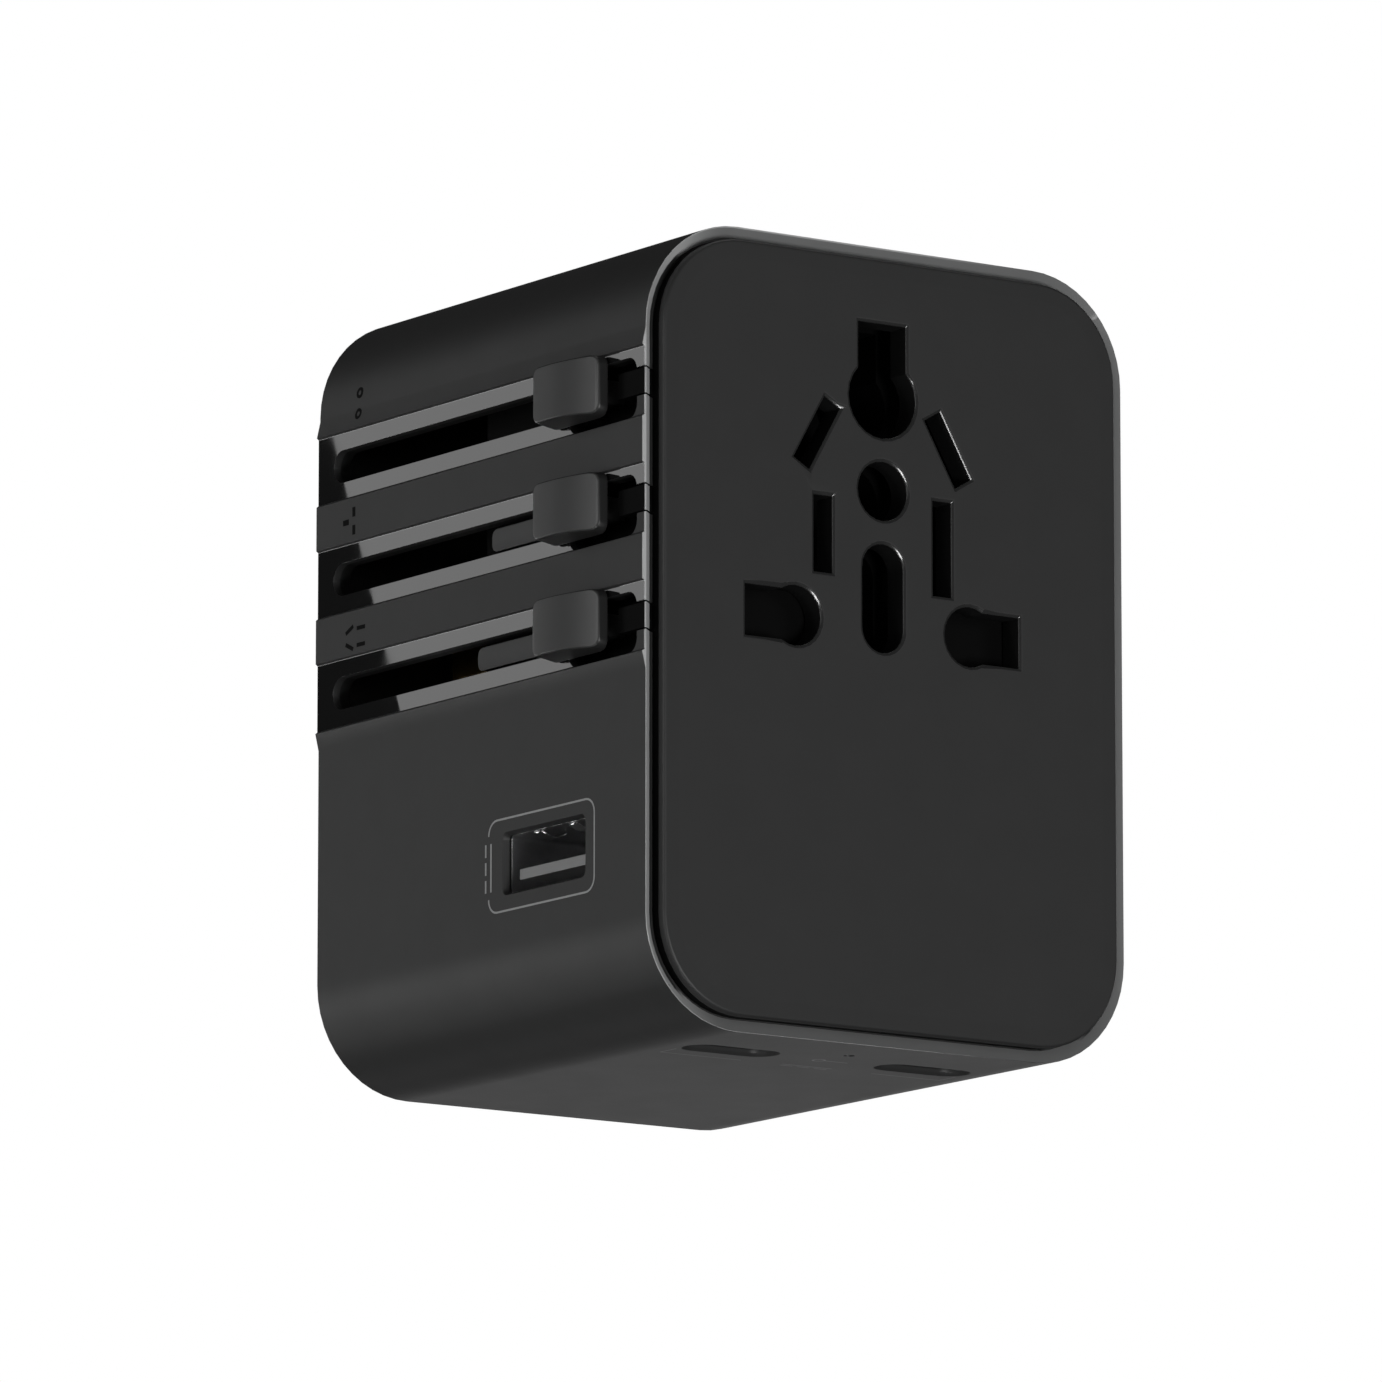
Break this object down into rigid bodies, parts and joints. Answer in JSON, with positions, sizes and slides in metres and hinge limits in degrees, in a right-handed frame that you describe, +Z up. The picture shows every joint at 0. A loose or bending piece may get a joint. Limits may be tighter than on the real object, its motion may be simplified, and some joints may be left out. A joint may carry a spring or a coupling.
{
  "type": "travel adapter",
  "caption": "Rounded mains travel adapter with a universal socket face, three slide-out plugs, a USB-A socket and USB-C sockets.",
  "frame": {"origin": "centre of the flat rear face, where the plug pins come out", "axes": "+Z up, +Y out of the rear face along the pins, -Y out of the socket face, sliders on the -X side"},
  "size_m": [0.0529, 0.0512, 0.0694],
  "materials": {
    "matte_shell": "fine matte moulded",
    "matte_plate": "fine matte moulded",
    "gloss_frame": "gloss black",
    "inner_plastic": "plain moulded",
    "carriage_plastic": "plain moulded",
    "knob_plastic": "satin moulded",
    "white_plastic": "plain",
    "nickel": "bright nickel plate",
    "brass": "stamped",
    "steel": "plated steel",
    "clear_lens": "clear moulded",
    "circuit_board": "solder mask",
    "winding": "tape wrap",
    "capacitor_sleeve": "shrink sleeve"
  },
  "bodies": {
    "adapter_body": {"housing_sleeve": "matte_shell", "front_frame": "gloss_frame", "face_plate": "matte_plate", "rear_cover": "matte_shell", "rear_screw_1": "steel", "rear_screw_2": "steel", "rear_screw_3": "steel", "rear_screw_4": "steel", "contact_carrier": "inner_plastic", "line_contact": "brass", "neutral_contact": "brass", "earth_contact": "brass", "line_rail": "brass", "neutral_rail": "brass", "shutter_spring": "steel", "partition": "white_plastic", "usb_a_shell": "steel", "usb_a_tongue": "carriage_plastic", "usb_c_shell_left": "steel", "usb_c_shell_right": "steel", "usb_c_tongue_left": "inner_plastic", "usb_c_tongue_right": "inner_plastic", "led_light_pipe": "clear_lens", "usb_board": "circuit_board", "power_board": "circuit_board", "transformer": "winding", "capacitor_left": "capacitor_sleeve", "capacitor_right": "capacitor_sleeve", "fuse_holder": "inner_plastic", "fuse": "white_plastic", "fuse_clip_front": "brass", "fuse_clip_rear": "brass"},
    "shutter": {"safety_shutter": "inner_plastic"},
    "eu_plug": {"carriage_eu": "carriage_plastic", "knob_eu": "knob_plastic", "detent_spring_eu": "steel", "eu_pin_left": "nickel", "eu_pin_right": "nickel"},
    "uk_plug": {"carriage_uk": "carriage_plastic", "knob_uk": "knob_plastic", "detent_spring_uk": "steel", "uk_pin_line": "nickel", "uk_pin_neutral": "nickel", "uk_pin_earth": "nickel"},
    "us_plug": {"carriage_us": "carriage_plastic", "knob_us": "knob_plastic", "detent_spring_us": "steel"},
    "left_blade": {"us_blade_left": "nickel", "blade_rotor_left": "carriage_plastic"},
    "right_blade": {"us_blade_right": "nickel", "blade_rotor_right": "carriage_plastic"}
  },
  "joints": [
    {"name": "eu_slide", "type": "slide", "parent": "adapter_body", "child": "eu_plug", "axis": [0, 1, 0], "range_m": [0, 0.02]},
    {"name": "uk_slide", "type": "slide", "parent": "adapter_body", "child": "uk_plug", "axis": [0, 1, 0], "range_m": [0, 0.02]},
    {"name": "us_slide", "type": "slide", "parent": "adapter_body", "child": "us_plug", "axis": [0, 1, 0], "range_m": [0, 0.02]},
    {"name": "left_blade_twist", "type": "hinge", "parent": "us_plug", "child": "left_blade", "pos_m": [-0.00635, -0.0265, -0.00975], "axis": [0, 1, 0], "range_deg": [0, 30]},
    {"name": "right_blade_twist", "type": "hinge", "parent": "us_plug", "child": "right_blade", "pos_m": [0.00635, -0.0265, -0.00975], "axis": [0, 1, 0], "range_deg": [-30, 0]},
    {"name": "shutter_slide", "type": "slide", "parent": "adapter_body", "child": "shutter", "axis": [0, 0, -1], "range_m": [0, 0.007], "stiffness_N_per_m": 5, "springref_m": -0.003, "deforming": ["shutter_spring"]}
  ]
}
